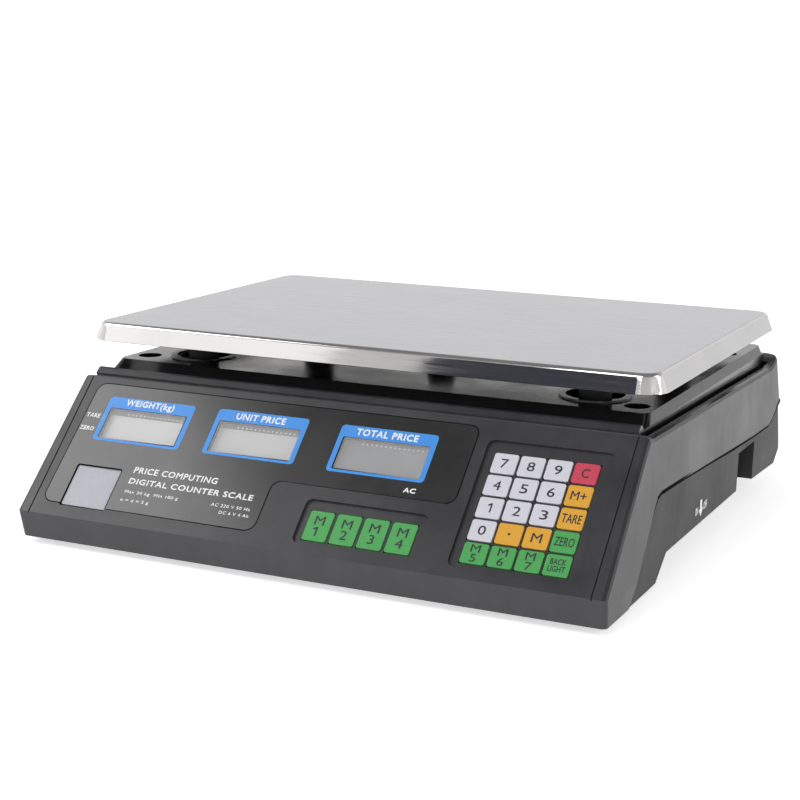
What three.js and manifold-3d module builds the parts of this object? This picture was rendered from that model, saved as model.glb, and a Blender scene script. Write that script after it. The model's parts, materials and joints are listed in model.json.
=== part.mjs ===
// Counter-top price-computing scale: sloped keypad and display panel, steel weighing pan on a
// load-cell platform, two-part plastic housing on four levelling feet.
// Millimetres. +X is the operator's right, -Y the operator's side, +Z up, z = 0 under the feet.
import * as THREE from "three";
import { mergeVertices } from "three/addons/utils/BufferGeometryUtils.js";
import Module from "manifold-3d";

const wasm = await Module();
wasm.setup();

// ---------------------------------------------------------------- driving dimensions
const GAP = 0.3; // air left between pieces that touch
const SHELL = 3; // wall of the upper housing
const BASE_WALL = 2.5;

const HALF_WIDTH = 172; // widest line of the housing, at the foot of the panel
const FRONT = -177.6; // foot of the panel
const REAR_FOOT = { y: 171, z: 25 }; // the rear wall leans forward above this line
const REAR_LEAN = 0.345;
const RIM_HALF_WIDTH = 170.4;
const BASE_FOOT = { halfWidth: 169.2, flangeHalfWidth: 164.2, front: -171.8 };
const PLAN_SHIFT = 3.55; // brings the middle of the finished plan to the origin
const LIP_BOTTOM = 4;
const LIP_TOP = 19.2; // foot of the sloped panel
const SIDE_DRAFT = 0.03; // inward lean of the side walls
const PANEL_ANGLE = THREE.MathUtils.degToRad(45.3);
const PANEL_LENGTH = 93.3;

const DECK_TOP = 91.4;
const DECK_HALF_WIDTH = 161.5;
const DECK_FRONT = -91;
const DECK_REAR = 134.5;
const PLINTH_HALF_WIDTH = 163.4; // panel and foot of the deck
const PLINTH_TOP = 86;
const CHANNEL_WIDTH = 2.2; // drain channel between deck and rim
const CHANNEL_FLOOR = 72;

const PAN_WIDTH = 346; // over the open edge of the skirt
const PAN_DEPTH = 236;
const PAN_Y = 10.6;
const PAN_TOP = 114.4;
const PAN_SHEET = 1.2;
const PAN_SKIRT = 10.1;
const PAN_FLARE = 2.8; // how far the skirt leans out
const PAN_CORNER = 14;

const POST_X = 122.3;
const POST_Y = [-60.5, 83.1];
const POST_RADIUS = 9;
const POST_HOLE_RADIUS = 16;
const COLLAR_RADIUS = 20;
const WELL_X = 150.5;
const WELL_Y = [-75.5, 93.5];
const WELL_RADIUS = 7;

const FOOT_X = 134;
const FOOT_Y = [-108, 138];
const FOOT_RADIUS = 13;
const FOOT_HEIGHT = 6;
const FOOT_STEM = 4;

const LCD_X = [-117.3, -45.4, 31.45]; // window centres on the panel
const LCD_S = [61.9, 62.25, 61.5];
const LCD_SIZE = [51, 20.2];

const CELL_HALF_WIDTH = 20;
const CELL_Y = [-65, 85];
const CELL_Z = [31.6, 53.6];
const PLATFORM_Z = [59, 65];

const JACK = { y: 80, z: 29, wallX: 160.5 };
const SWITCH = { x: 150, y: -10.5 };
const BATTERY = { x: -85, y: 5, width: 70, length: 101, height: 44 };
const FLOOR_Z = 15.5; // underside of the middle of the base

// ---------------------------------------------------------------- solid helpers
function solid(geometry) {
  const plain = geometry.clone();
  plain.deleteAttribute("normal");
  plain.deleteAttribute("uv");
  const merged = mergeVertices(plain, 1e-4);
  return new wasm.Manifold(
    new wasm.Mesh({
      numProp: 3,
      vertProperties: new Float32Array(merged.attributes.position.array),
      triVerts: new Uint32Array(merged.index.array),
    })
  );
}

function geometryOf(body) {
  const mesh = body.getMesh();
  const geometry = new THREE.BufferGeometry();
  geometry.setAttribute("position", new THREE.BufferAttribute(new Float32Array(mesh.vertProperties), 3));
  geometry.setIndex(new THREE.BufferAttribute(new Uint32Array(mesh.triVerts), 1));
  geometry.computeVertexNormals();
  return geometry;
}

const join = (first, ...rest) => rest.reduce((sum, item) => sum.add(item), first);
const cut = (body, ...tools) => tools.reduce((sum, item) => sum.subtract(item), body);

function box(x0, x1, y0, y1, z0, z1) {
  const geometry = new THREE.BoxGeometry(x1 - x0, y1 - y0, z1 - z0);
  return solid(geometry.translate((x0 + x1) / 2, (y0 + y1) / 2, (z0 + z1) / 2));
}

function drum(radius, x, y, z0, z1, sides = 16, topRadius = radius) {
  const geometry = new THREE.CylinderGeometry(topRadius, radius, z1 - z0, sides);
  return solid(geometry.rotateX(Math.PI / 2).translate(x, y, (z0 + z1) / 2));
}

function drumAlongX(radius, x0, x1, y, z, sides = 16) {
  const geometry = new THREE.CylinderGeometry(radius, radius, x1 - x0, sides);
  return solid(geometry.rotateZ(Math.PI / 2).translate((x0 + x1) / 2, y, z));
}

function roundedRectangle(x0, x1, y0, y1, radius) {
  const shape = new THREE.Shape();
  shape.absarc(x1 - radius, y1 - radius, radius, 0, Math.PI / 2);
  shape.absarc(x0 + radius, y1 - radius, radius, Math.PI / 2, Math.PI);
  shape.absarc(x0 + radius, y0 + radius, radius, Math.PI, Math.PI * 1.5);
  shape.absarc(x1 - radius, y0 + radius, radius, Math.PI * 1.5, Math.PI * 2);
  return shape;
}

function slab(shape, z0, z1, curveSegments = 3) {
  const geometry = new THREE.ExtrudeGeometry(shape, {
    depth: z1 - z0,
    bevelEnabled: false,
    curveSegments,
  });
  return geometry.translate(0, 0, z0);
}

// Moves every vertex through a function of its own position.
function reshape(geometry, move) {
  const place = geometry.attributes.position;
  const point = new THREE.Vector3();
  for (let i = 0; i < place.count; i += 1) {
    point.fromBufferAttribute(place, i);
    move(point);
    place.setXYZ(i, point.x, point.y, point.z);
  }
  return geometry;
}

// A block with a rounded plan whose walls lean from the lower plan to the upper one.
function draftedBlock(low, high, z0, z1, radius) {
  const geometry = slab(roundedRectangle(-low.x, low.x, low.y0, low.y1, radius), z0, z1, 4);
  const stretch = (high.y1 - high.y0) / (low.y1 - low.y0);
  reshape(geometry, (point) => {
    if (point.z < (z0 + z1) / 2) return;
    point.x *= high.x / low.x;
    point.y = high.y0 + (point.y - low.y0) * stretch;
  });
  return solid(geometry);
}

// A side profile, given as [y, z] points, carried from -halfWidth to +halfWidth along X.
const profileToModel = new THREE.Matrix4().makeBasis(
  new THREE.Vector3(0, 1, 0),
  new THREE.Vector3(0, 0, 1),
  new THREE.Vector3(1, 0, 0)
);

function sideProfile(points, halfWidth, edge = 0) {
  const shape = new THREE.Shape(points.map(([y, z]) => new THREE.Vector2(y, z)));
  const geometry = new THREE.ExtrudeGeometry(shape, {
    depth: 2 * (halfWidth - edge),
    bevelEnabled: edge > 0,
    bevelThickness: edge,
    bevelSize: edge,
    bevelOffset: -edge,
    bevelSegments: 2,
    curveSegments: 6,
  });
  return geometry.translate(0, 0, edge - halfWidth).applyMatrix4(profileToModel);
}

// ---------------------------------------------------------------- panel frame
// On the panel, x stays x, s runs up the slope from its foot and w is the height above its face.
const alongSlope = new THREE.Vector3(0, Math.cos(PANEL_ANGLE), Math.sin(PANEL_ANGLE));
const offSlope = new THREE.Vector3(0, -Math.sin(PANEL_ANGLE), Math.cos(PANEL_ANGLE));
const panelFoot = new THREE.Vector3(0, FRONT, LIP_TOP);
const panelToModel = new THREE.Matrix4()
  .makeBasis(new THREE.Vector3(1, 0, 0), alongSlope, offSlope)
  .setPosition(panelFoot);

const onPanel = (geometry) => solid(geometry.applyMatrix4(panelToModel));

function slopePoint(s, w = 0) {
  const point = panelFoot.clone().addScaledVector(alongSlope, s).addScaledVector(offSlope, w);
  return [point.y, point.z];
}

// ---------------------------------------------------------------- lines shared by both housings
const partingLine = [
  [-141.5, 3],
  [-102.7, 48.1],
  [-99.4, 50.8],
  [-93.1, 52.1],
  [-57.9, 50.8],
  [-6.7, 48.2],
  [45.6, 45.2],
  [89.8, 43.4],
  [128, 42.6],
  [136, 44.8],
  [150, 51.4],
  [156, 53.4],
  [190, 55],
];

const rearY = (z) => REAR_FOOT.y - REAR_LEAN * (z - REAR_FOOT.z);

function draftedWidth(z) {
  return HALF_WIDTH - SIDE_DRAFT * (z - LIP_TOP);
}

// ---------------------------------------------------------------- upper housing
const KEYPAD = { x0: 87, x1: 156, s0: 6, s1: 80.5, keyX: 92.4, keyS: 73.6, pitchX: 14.5, pitchS: 13.1 };
const KEY = { width: 13.2, height: 11.8 };
const MEMORY = { x0: -0.5, x1: 69.7, s0: 5.8, s1: 32.3, keyX: 3.9, keyS: 26.3, pitchX: 15.8 };
const MEMORY_KEY = { width: 13.9, height: 17.6 };
const POCKET_DEPTH = 1.5;
const CORNER = { x0: -146.5, x1: -117.3, s0: 8, s1: 33.5 };
const FILM_RECESS = 1;
const GROOVE = { x: 164.1, width: 0.8, depth: 0.8 }; // line between the panel and each cheek

function filmOutline(inset) {
  const left = -158.9 + inset;
  const low = 8.3 + inset;
  const right = 80.4 - inset;
  const top = 87.5 - inset;
  const stepX = -24 - inset;
  const stepS = 39.8 + inset;
  const r = 6 - inset;
  const shape = new THREE.Shape();
  shape.absarc(right - r, top - r, r, 0, Math.PI / 2);
  shape.absarc(left + 1.4 + r, top - r, r, Math.PI / 2, Math.PI);
  shape.absarc(left + r, low + r, r, Math.PI, Math.PI * 1.5);
  shape.absarc(stepX - r, low + r, r, Math.PI * 1.5, Math.PI * 2);
  shape.absarc(stepX + r, stepS - r, r, Math.PI, Math.PI / 2, true);
  shape.absarc(right - r, stepS + r, r, Math.PI * 1.5, Math.PI * 2);
  return shape;
}

function keyPlaces() {
  const places = [];
  for (let row = 0; row < 5; row += 1) {
    for (let column = 0; column < 4; column += 1) {
      places.push({
        x0: KEYPAD.keyX + column * KEYPAD.pitchX,
        s1: KEYPAD.keyS - row * KEYPAD.pitchS,
        size: KEY,
        name: `key_row${row + 1}_column${column + 1}`,
      });
    }
  }
  for (let column = 0; column < 4; column += 1) {
    places.push({
      x0: MEMORY.keyX + column * MEMORY.pitchX,
      s1: MEMORY.keyS,
      size: MEMORY_KEY,
      name: `memory_key_${column + 1}`,
    });
  }
  return places;
}

function outerSkin() {
  const [kneeY, kneeZ] = slopePoint(PANEL_LENGTH - 1.5);
  const rim = [
    [kneeY + 7, 83.2],
    [-60, 82],
    [-32, 81.2],
    [25, 80],
    [75, 79.4],
    [128, 78.6],
    [135, 79.2],
    [143, 82],
    [148, 83.2],
    [rearY(83.6), 83.6],
  ];
  const cheeks = sideProfile(
    [[-190, -2], slopePoint(-17.45), [kneeY, kneeZ], ...rim, [rearY(-2), -2]],
    HALF_WIDTH,
    2.4
  );
  reshape(cheeks, (point) => {
    point.x *= draftedWidth(Math.max(point.z, LIP_TOP)) / HALF_WIDTH;
  });
  const lip = draftedBlock(
    { x: HALF_WIDTH - 1, y0: FRONT + 3, y1: rearY(LIP_BOTTOM) },
    { x: HALF_WIDTH, y0: FRONT, y1: rearY(LIP_TOP) },
    LIP_BOTTOM,
    LIP_TOP,
    3
  );
  const foot = HALF_WIDTH + 0.2;
  const fore = draftedBlock(
    { x: foot, y0: FRONT, y1: 0 },
    { x: RIM_HALF_WIDTH, y0: FRONT, y1: 0 },
    LIP_TOP,
    95,
    3
  );
  const aft = draftedBlock(
    { x: foot, y0: -100, y1: rearY(LIP_TOP) },
    { x: RIM_HALF_WIDTH, y0: -100, y1: rearY(95) },
    LIP_TOP,
    95,
    11
  );
  return solid(cheeks).intersect(join(lip, fore, aft));
}

function deckBlock() {
  const [beadY, beadZ] = slopePoint(PANEL_LENGTH + 4.3);
  const front = sideProfile(
    [
      slopePoint(80, -6),
      slopePoint(PANEL_LENGTH, -1),
      slopePoint(PANEL_LENGTH + 0.6, 0.4),
      [beadY, beadZ],
      [beadY + 1.6, beadZ + 0.5],
      [beadY + 3.2, beadZ - 0.4],
      [beadY + 4.6, PLINTH_TOP],
      [-99, PLINTH_TOP],
      [-99, 74],
    ],
    PLINTH_HALF_WIDTH
  );
  const plinth = box(-PLINTH_HALF_WIDTH, PLINTH_HALF_WIDTH, -100, DECK_REAR + 2, 74, PLINTH_TOP);
  const deck = draftedBlock(
    { x: PLINTH_HALF_WIDTH, y0: DECK_FRONT - 7, y1: DECK_REAR + 2 },
    { x: DECK_HALF_WIDTH, y0: DECK_FRONT, y1: DECK_REAR },
    PLINTH_TOP - 0.2,
    DECK_TOP,
    5
  );
  return join(solid(front), plinth, deck);
}

function drainChannel() {
  const side = PLINTH_HALF_WIDTH;
  const back = DECK_REAR + 2;
  const outer = box(-side - CHANNEL_WIDTH, side + CHANNEL_WIDTH, -104, back + CHANNEL_WIDTH, CHANNEL_FLOOR, 96);
  return cut(outer, box(-side, side, -110, back, 60, 100));
}

function housingCavity() {
  const lower = sideProfile(
    [
      [-171.4, -5],
      [-174.2, 17],
      slopePoint(0, -SHELL),
      slopePoint(68.5, -SHELL),
      [rearY(69) - SHELL, 69],
      [rearY(-5) - SHELL, -5],
    ],
    165
  );
  const upper = sideProfile(
    [
      slopePoint(60, -SHELL),
      slopePoint(PANEL_LENGTH - 2, -SHELL),
      [-99, 83],
      [DECK_FRONT, DECK_TOP - SHELL],
      [DECK_REAR - 1, DECK_TOP - SHELL],
      [DECK_REAR - 1, 60],
    ],
    PLINTH_HALF_WIDTH - SHELL
  );
  const behindDeck = [
    [DECK_REAR + 7, 60],
    [DECK_REAR + 7, 79],
    [rearY(79) - SHELL, 79],
    [rearY(60) - SHELL, 60],
  ];
  return join(solid(lower), solid(upper), solid(sideProfile(behindDeck, 160)));
}

function panelCutters() {
  const cutters = [
    onPanel(slab(filmOutline(0), -FILM_RECESS, 5, 4)),
    onPanel(slab(roundedRectangle(KEYPAD.x0, KEYPAD.x1, KEYPAD.s0, KEYPAD.s1, 4), -POCKET_DEPTH, 5)),
    onPanel(slab(roundedRectangle(MEMORY.x0, MEMORY.x1, MEMORY.s0, MEMORY.s1, 4), -POCKET_DEPTH, 5)),
    onPanel(slab(roundedRectangle(CORNER.x0 - 1, CORNER.x1 + 1, CORNER.s0 - 1, CORNER.s1 + 1, 2), -2.2, 5)),
  ];
  LCD_X.forEach((x, i) => {
    const [w, h] = LCD_SIZE;
    const window = roundedRectangle(x - w / 2, x + w / 2, LCD_S[i] - h / 2, LCD_S[i] + h / 2, 1);
    cutters.push(onPanel(slab(window, -9, 5, 1)));
  });
  for (const side of [-1, 1]) {
    const slopeGroove = new THREE.BoxGeometry(GROOVE.width, PANEL_LENGTH + 6, 2 * GROOVE.depth);
    cutters.push(onPanel(slopeGroove.translate(side * GROOVE.x, PANEL_LENGTH / 2, 0)));
  }
  keyPlaces().forEach(({ x0, s1, size }) => {
    const hole = new THREE.BoxGeometry(size.width + 2 * GAP, size.height + 2 * GAP, 12);
    cutters.push(onPanel(hole.translate(x0 + size.width / 2, s1 - size.height / 2, -5)));
  });
  return cutters;
}

function upperHousing() {
  let body = cut(join(outerSkin(), deckBlock()), drainChannel());
  body = cut(body, housingCavity());
  for (const side of [-1, 1]) {
    for (const y of POST_Y) {
      body = join(body, drum(COLLAR_RADIUS, side * POST_X, y, DECK_TOP - 1, DECK_TOP + 1, 28, COLLAR_RADIUS - 0.6));
      body = cut(body, drum(POST_HOLE_RADIUS, side * POST_X, y, 80, 96, 28));
    }
    for (const y of WELL_Y) {
      const x = side * WELL_X;
      body = join(body, drum(WELL_RADIUS + 2, x, y, 66.6, DECK_TOP - 1, 16));
      body = cut(body, drum(WELL_RADIUS, x, y, 70, 96, 16), drum(2.5, x, y, 60, 75, 8));
    }
  }
  const underLine = [[-139.8, -10], ...partingLine, [190, -10]];
  body = cut(body, solid(sideProfile(underLine, 200)));
  return cut(body, ...panelCutters());
}

// ---------------------------------------------------------------- base housing
function baseOutline() {
  const top = partingLine.slice(0, -1).map(([y, z]) => [y + 0.25, z - GAP]);
  return [
    ...top,
    [rearY(53.4) - 0.5, 53.2],
    [REAR_FOOT.y - 0.5, REAR_FOOT.z],
    [152.8, 12.4],
    [97.5, 14.5],
    [63, FLOOR_Z],
    [-76.4, FLOOR_Z],
    [-92.6, 3],
  ];
}

function footPad(side, y) {
  const floor = y < 0 ? 3 : 12;
  return drum(FOOT_RADIUS + 5, side * FOOT_X, y, floor, 26, 20, FOOT_RADIUS + 3);
}

function footRecess(side, y) {
  const x = side * FOOT_X;
  return join(
    drum(FOOT_RADIUS + 2, x, y, -2, FOOT_HEIGHT + 2, 20),
    drum(FOOT_STEM + 0.5, x, y, 5, 22, 16)
  );
}

function baseHousing() {
  const plan = draftedBlock(
    { x: BASE_FOOT.halfWidth, y0: -200, y1: rearY(2) },
    { x: RIM_HALF_WIDTH, y0: -200, y1: rearY(60) },
    2,
    60,
    10
  );
  const block = solid(sideProfile(baseOutline(), 200)).intersect(plan);
  const inside = solid(
    sideProfile(
      [
        [-250, 3 + BASE_WALL],
        [-93.6, 3 + BASE_WALL],
        [-77.4, FLOOR_Z + BASE_WALL],
        [64, FLOOR_Z + BASE_WALL],
        [151, 15],
        [rearY(27) - BASE_WALL - 0.5, 27],
        [rearY(70) - BASE_WALL - 0.5, 70],
        [-250, 70],
      ],
      166
    )
  );
  const { x, y, width, length } = BATTERY;
  const bay = [x - width / 2 - 3, x + width / 2 + 3, y - length / 2 - 3, y + length / 2 + 3];
  const bayWall = [bay[0] - 2, bay[1] + 2, bay[2] - 2, bay[3] + 2];
  const notchWall = JACK.wallX - BASE_WALL;
  const { flangeHalfWidth: flange, front } = BASE_FOOT;
  let body = join(
    cut(block, inside),
    box(-flange, flange, front, -130, 4, 6.6),
    box(-flange, flange, front, front + BASE_WALL, 4, 14),
    box(...bayWall, FLOOR_Z, 44),
    box(notchWall, 168, 59.5, 100.5, 15, 40),
    box(-28, 28, 42, 88, FLOOR_Z + 1, 22)
  );
  for (const side of [-1, 1]) {
    for (const wellY of WELL_Y) {
      body = join(body, drum(5, side * WELL_X, wellY, wellY < 0 ? 14.5 : 14.8, 66.2, 12));
    }
    for (const footY of FOOT_Y) body = join(body, footPad(side, footY));
  }
  body = cut(
    body,
    box(...bay, 0, 60),
    box(JACK.wallX, 180, 62, 98, 0, 38.5),
    drumAlongX(4.2, 150, 170, JACK.y, JACK.z, 16),
    box(SWITCH.x - 7, SWITCH.x + 7, SWITCH.y - 10, SWITCH.y + 10, 5, 30)
  );
  for (const side of [-1, 1]) {
    for (const wellY of WELL_Y) body = cut(body, drum(2.3, side * WELL_X, wellY, 50, 70, 8));
    for (const footY of FOOT_Y) body = cut(body, footRecess(side, footY));
  }
  return join(body, coverRail(-1), coverRail(1));
}

// Rails under the floor that carry the sliding battery cover.
const COVER = { halfWidth: 42, z0: 12.6, z1: 15.2, y0: -52, y1: 62, slide: 12 };

function coverRail(side) {
  const inner = BATTERY.x + side * (COVER.halfWidth + 0.5);
  const outer = inner + side * 3;
  const hook = inner - side * 2.5;
  const [a, b] = [Math.min(inner, outer), Math.max(inner, outer)];
  const [c, d] = [Math.min(hook, outer), Math.max(hook, outer)];
  return join(
    box(a, b, COVER.y0 - COVER.slide, COVER.y1, 11, FLOOR_Z + 1),
    box(c, d, COVER.y0 - COVER.slide, COVER.y1, 11, COVER.z0 - GAP)
  );
}

function batteryCover() {
  const { x } = BATTERY;
  const plate = box(x - COVER.halfWidth, x + COVER.halfWidth, COVER.y0, COVER.y1, COVER.z0, COVER.z1);
  const thumb = box(x - 12, x + 12, COVER.y1 - 14, COVER.y1 - 8, COVER.z0 - 1, COVER.z0 + 0.8);
  return cut(plate, thumb);
}

// ---------------------------------------------------------------- panel pieces
function displayFascia() {
  let film = onPanel(slab(filmOutline(GAP), -0.7, 0.1, 4));
  const corner = roundedRectangle(CORNER.x0 - 0.4, CORNER.x1 + 0.4, CORNER.s0 - 0.4, CORNER.s1 + 0.4, 1.5);
  film = cut(film, onPanel(slab(corner, -3, 3)));
  LCD_X.forEach((x, i) => {
    const [w, h] = LCD_SIZE;
    const window = roundedRectangle(x - w / 2, x + w / 2, LCD_S[i] - h / 2, LCD_S[i] + h / 2, 1);
    film = cut(film, onPanel(slab(window, -3, 3, 1)));
  });
  return film;
}

function cornerWindow() {
  return onPanel(slab(roundedRectangle(CORNER.x0, CORNER.x1, CORNER.s0, CORNER.s1, 1.2), -1.9, -0.8));
}

function lcdModule(i) {
  const x = LCD_X[i];
  const [w, h] = [58, 27];
  return onPanel(
    new THREE.BoxGeometry(w, h, 3.6).translate(x, LCD_S[i], -SHELL - GAP - 1.8)
  );
}

function switchMat(area) {
  const w = area.x1 - area.x0 - 4;
  const h = area.s1 - area.s0 - 4;
  const geometry = new THREE.BoxGeometry(w, h, 1.4);
  return onPanel(geometry.translate((area.x0 + area.x1) / 2, (area.s0 + area.s1) / 2, -5.3));
}

function mainBoard() {
  return onPanel(new THREE.BoxGeometry(308, 70, 1.6).translate(0, 47, -9.6));
}

// A key cap, drawn at the panel's origin with its face slightly proud of the pocket floor.
function keyCap({ width, height }) {
  const [a, b] = [width / 2, height / 2];
  const cap = solid(slab(roundedRectangle(-a, a, -b, b, 1.2), -3, -0.9, 2));
  return geometryOf(cap);
}

// ---------------------------------------------------------------- weighing pan
// The sheet is folded down all round; the fold leans out a little towards its edge.
function weighingPan() {
  const [a, b] = [PAN_WIDTH / 2, PAN_DEPTH / 2];
  const shellOf = (inset, z0, z1) =>
    draftedBlock(
      { x: a - inset, y0: -b + inset, y1: b - inset },
      { x: a - PAN_FLARE - inset, y0: -b + PAN_FLARE + inset, y1: b - PAN_FLARE - inset },
      z0,
      z1,
      PAN_CORNER - inset
    ).translate([0, PAN_Y, 0]);
  const bottom = PAN_TOP - PAN_SKIRT;
  return cut(shellOf(0, bottom, PAN_TOP), shellOf(PAN_SHEET, bottom - 1, PAN_TOP - PAN_SHEET));
}

// ---------------------------------------------------------------- load path
function panSpider() {
  const [z0, z1] = PLATFORM_Z;
  const hubY = CELL_Y[0] + 20;
  let body = join(
    box(-34, 34, -66, 88, z0, z1),
    box(-CELL_HALF_WIDTH, CELL_HALF_WIDTH, CELL_Y[0], hubY + 20, CELL_Z[1] + 0.5, z0 + 1)
  );
  body = cut(body, box(-22, 22, -10, 76, z0 - 2, z1 + 2));
  for (const y of POST_Y) {
    body = join(body, box(-POST_X - 10, POST_X + 10, y - 9, y + 9, z0, z1));
    for (const side of [-1, 1]) body = join(body, drum(POST_RADIUS, side * POST_X, y, z0, 104, 16));
  }
  return body;
}

function panCushion(side, y) {
  const top = PAN_TOP - PAN_SHEET - GAP;
  return drum(POST_RADIUS + 2, side * POST_X, y, 104 + GAP, top, 20, POST_RADIUS + 1);
}

// Tapered buffer on the deck that catches the middle of an overloaded pan.
function overloadStop() {
  return drum(12, 0, PAN_Y, DECK_TOP + GAP, PAN_TOP - 5, 16, 7);
}

function loadCell() {
  const [y0, y1] = CELL_Y;
  const [z0, z1] = CELL_Z;
  const middle = (z0 + z1) / 2;
  const bar = box(-CELL_HALF_WIDTH, CELL_HALF_WIDTH, y0, y1, z0, z1);
  const slot = box(-30, 30, -4, 24, middle - 2.5, middle + 2.5);
  const bores = [-4, 24].map((y) => drumAlongX(7.5, -30, 30, y, middle, 16));
  return cut(bar, slot, ...bores);
}

function loadCellPlate() {
  return join(box(-27, 27, 43, 87, 22.3, 26.3), box(-19, 19, 46, 84, 26, CELL_Z[0] - GAP));
}

// Hexagon-headed bolt standing head-up on the load-cell end of the platform plate.
function platformBolt(x, y) {
  return drum(6.5, x, y, PLATFORM_Z[1] + GAP, PLATFORM_Z[1] + 5.3, 6);
}

// ---------------------------------------------------------------- small parts
function levellingFoot(side, y) {
  const x = side * FOOT_X;
  return join(
    drum(FOOT_RADIUS - 1, x, y, 0, 1.2, 20, FOOT_RADIUS),
    drum(FOOT_RADIUS, x, y, 1.2, FOOT_HEIGHT, 20),
    drum(FOOT_STEM, x, y, FOOT_HEIGHT - 1, 20, 16)
  );
}

function housingScrew(side, y) {
  const x = side * WELL_X;
  return join(drum(4, x, y, 70.3, 73, 12), drum(1.9, x, y, 54, 71, 8));
}

function powerJack() {
  const { y, z, wallX } = JACK;
  const back = wallX - BASE_WALL - GAP;
  const shell = join(
    box(back - 13, back, y - 6, y + 6, z - 6, z + 6),
    drumAlongX(3.8, back - 1, wallX - 0.4, y, z, 16)
  );
  const socket = drumAlongX(2.8, back - 9, wallX + 1, y, z, 12);
  return join(cut(shell, socket), drumAlongX(1, back - 10, wallX - 1.5, y, z, 8));
}

function switchBody() {
  const { x, y } = SWITCH;
  const bezelTop = FLOOR_Z - GAP;
  const shell = join(
    box(x - 8.5, x + 8.5, y - 11.5, y + 11.5, bezelTop - 2, bezelTop),
    box(x - 6.6, x + 6.6, y - 9.6, y + 9.6, bezelTop - 1, 34)
  );
  return cut(shell, box(x - 5, x + 5, y - 8, y + 8, 5, 24));
}

// The rocker rests with its rear (OFF) half pressed in; it is drawn about its own pivot.
const ROCKER_TILT = THREE.MathUtils.degToRad(8);

function switchRocker() {
  const outline = [
    [-7.2, 2.5],
    [-7.2, -3.4],
    [0, -2.2],
    [7.2, -3.4],
    [7.2, 2.5],
    [0, 5],
  ];
  return geometryOf(solid(sideProfile(outline, 4.6)));
}

function battery() {
  const { x, y, width, length, height } = BATTERY;
  const low = COVER.z1 + GAP;
  const [w, l] = [width / 2, length / 2];
  return join(
    box(x - w, x + w, y - l, y + l, low, low + height),
    box(x - w + 6, x - w + 14, y - l + 5, y - l + 10, low + height - 1, low + height + 5),
    box(x + w - 14, x + w - 6, y - l + 5, y - l + 10, low + height - 1, low + height + 5)
  );
}

// ---------------------------------------------------------------- materials
const finish = (color, roughness, metalness = 0) =>
  new THREE.MeshStandardMaterial({ color, roughness, metalness });
const housingPlastic = finish(0x3c3c3f, 0.55);
const filmBlack = finish(0x2b2b2c, 0.35);
const greyWindow = finish(0xb4b4bb, 0.3);
const lcdGlass = finish(0xc9c9c9, 0.2);
const blackRubber = finish(0x1c1c1d, 0.85);
const boardGreen = finish(0x1f5a3a, 0.6);
const keyGrey = finish(0xc9c8d2, 0.45);
const keyRed = finish(0xc4505f, 0.45);
const keyAmber = finish(0xd9a640, 0.45);
const keyGreen = finish(0x58a862, 0.45);
const panSteel = finish(0xc5c6c8, 0.3, 1);
const castAlloy = finish(0xa9abad, 0.5, 0.9);
const zincSteel = finish(0xb9b7b0, 0.4, 1);
const glossBlack = finish(0x161617, 0.25);
const batteryGrey = finish(0x4b4f55, 0.5);

// One colour per key, row by row from the top.
const KEY_COLOURS = [
  [keyGrey, keyGrey, keyGrey, keyRed],
  [keyGrey, keyGrey, keyGrey, keyAmber],
  [keyGrey, keyGrey, keyGrey, keyAmber],
  [keyGrey, keyAmber, keyAmber, keyGreen],
  [keyGreen, keyGreen, keyGreen, keyGreen],
].flat();

// ---------------------------------------------------------------- assembly
const scale = new THREE.Group();

function add(name, body, material, parent = scale) {
  const mesh = new THREE.Mesh(body.isBufferGeometry ? body : geometryOf(body), material);
  mesh.name = name;
  parent.add(mesh);
  return mesh;
}

add("upper_housing", upperHousing(), housingPlastic);
add("base_housing", baseHousing(), housingPlastic);
add("display_fascia", displayFascia(), filmBlack);
add("corner_window", cornerWindow(), greyWindow);
["weight_lcd", "unit_price_lcd", "total_price_lcd"].forEach((name, i) => add(name, lcdModule(i), lcdGlass));
add("keypad_switch_mat", switchMat(KEYPAD), blackRubber);
add("memory_switch_mat", switchMat(MEMORY), blackRubber);
add("main_board", mainBoard(), boardGreen);

const panel = new THREE.Group();
panel.position.copy(panelFoot);
panel.rotation.x = PANEL_ANGLE;
scale.add(panel);
const numberCap = keyCap(KEY);
const memoryCap = keyCap(MEMORY_KEY);
keyPlaces().forEach(({ x0, s1, size, name }, i) => {
  const cap = size === KEY ? numberCap : memoryCap;
  const key = add(name, cap, KEY_COLOURS[i] ?? keyGreen, panel);
  key.position.set(x0 + size.width / 2, s1 - size.height / 2, 0);
});

add("weighing_pan", weighingPan(), panSteel);
add("pan_spider", panSpider(), castAlloy);
add("overload_stop", overloadStop(), blackRubber);
add("load_cell", loadCell(), castAlloy);
add("load_cell_plate", loadCellPlate(), zincSteel);
[-11, 11].forEach((x, i) => add(`platform_bolt_${i + 1}`, platformBolt(x, CELL_Y[0] + 20), zincSteel));

const corners = [
  ["front_left", -1, 0],
  ["front_right", 1, 0],
  ["rear_left", -1, 1],
  ["rear_right", 1, 1],
];
for (const [place, side, end] of corners) {
  add(`pan_cushion_${place}`, panCushion(side, POST_Y[end]), blackRubber);
  add(`levelling_foot_${place}`, levellingFoot(side, FOOT_Y[end]), blackRubber);
  add(`housing_screw_${place}`, housingScrew(side, WELL_Y[end]), zincSteel);
}

add("power_jack", powerJack(), glossBlack);
add("power_switch_body", switchBody(), glossBlack);
const rocker = add("power_switch_rocker", switchRocker(), glossBlack);
rocker.position.set(SWITCH.x, SWITCH.y, 17);
rocker.rotation.x = ROCKER_TILT;
add("battery", battery(), batteryGrey);
add("battery_cover", batteryCover(), housingPlastic);

scale.position.y = PLAN_SHIFT;

export default scale;
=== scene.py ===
"""Looks for a counter-top price-computing scale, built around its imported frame. Lengths are metres."""
import json
import math

import bmesh
import bpy
from mathutils import Matrix, Vector


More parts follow.
